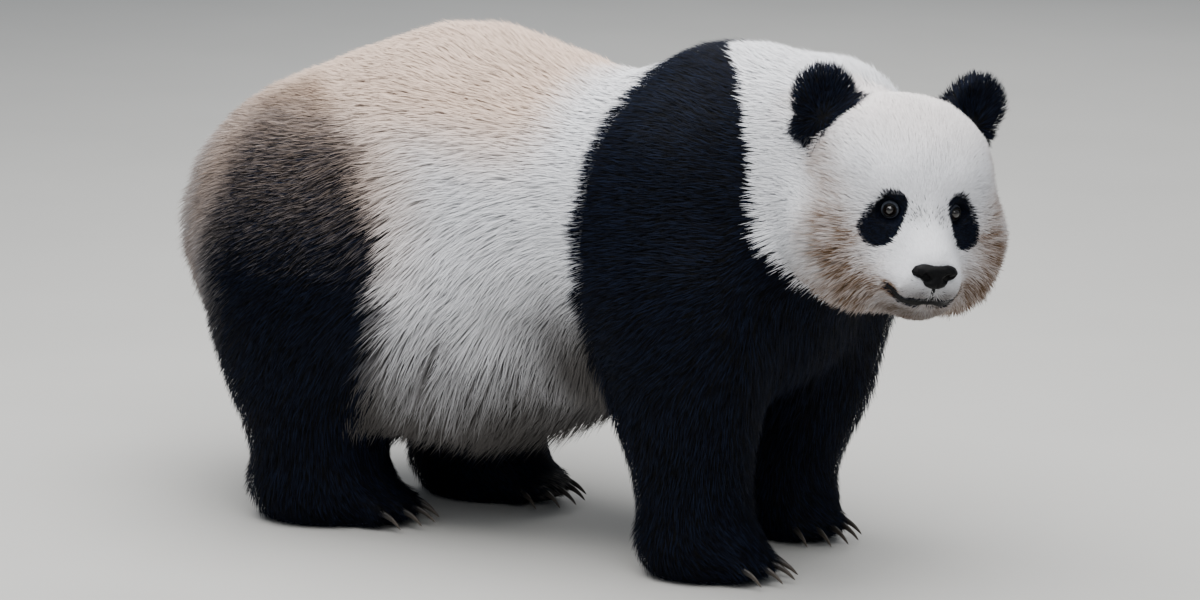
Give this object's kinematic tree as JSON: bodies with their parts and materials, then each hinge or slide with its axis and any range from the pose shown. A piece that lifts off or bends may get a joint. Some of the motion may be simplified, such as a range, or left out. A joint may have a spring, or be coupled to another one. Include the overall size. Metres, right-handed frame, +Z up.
{
  "type": "giant panda",
  "caption": "Life-size still model of a giant panda, standing on all its feet with its head turned to its right and looking ahead.",
  "frame": {"origin": "bottom centre of the bounding box, on the floor between the feet", "axes": "+X along the body towards the chest, +Y to the animal's left, +Z up; the head is turned about 41 degrees from +X towards -Y"},
  "size_m": [1.438, 0.614, 0.7737],
  "materials": {
    "coat_white": "long cream-white guard hair, matt, tinted peach on the back and brown at the haunches",
    "coat_black": "dense blue-black hair with a soft sheen",
    "nose": "bare pebbled black skin, damp",
    "eye": "dark brown iris under a wet, glossy surface",
    "claw": "grey-brown horn, half polished"
  },
  "bodies": {
    "root": {"trunk": "coat_white", "tail": "coat_white", "neck": "coat_white", "foreleg_right": "coat_black", "forepaw_right": "coat_black", "foreclaw_right_1": "claw", "foreclaw_right_2": "claw", "foreclaw_right_3": "claw", "foreclaw_right_4": "claw", "foreclaw_right_5": "claw", "foreleg_left": "coat_black", "forepaw_left": "coat_black", "foreclaw_left_1": "claw", "foreclaw_left_2": "claw", "foreclaw_left_3": "claw", "foreclaw_left_4": "claw", "foreclaw_left_5": "claw", "hindleg_right": "coat_black", "hindpaw_right": "coat_black", "hindclaw_right_1": "claw", "hindclaw_right_2": "claw", "hindclaw_right_3": "claw", "hindclaw_right_4": "claw", "hindclaw_right_5": "claw", "hindleg_left": "coat_black", "hindpaw_left": "coat_black", "hindclaw_left_1": "claw", "hindclaw_left_2": "claw", "hindclaw_left_3": "claw", "hindclaw_left_4": "claw", "hindclaw_left_5": "claw", "eye_left": "eye", "eye_right": "eye", "head": "coat_white", "ear_left": "coat_black", "ear_right": "coat_black", "nose": "nose"}
  },
  "joints": []
}
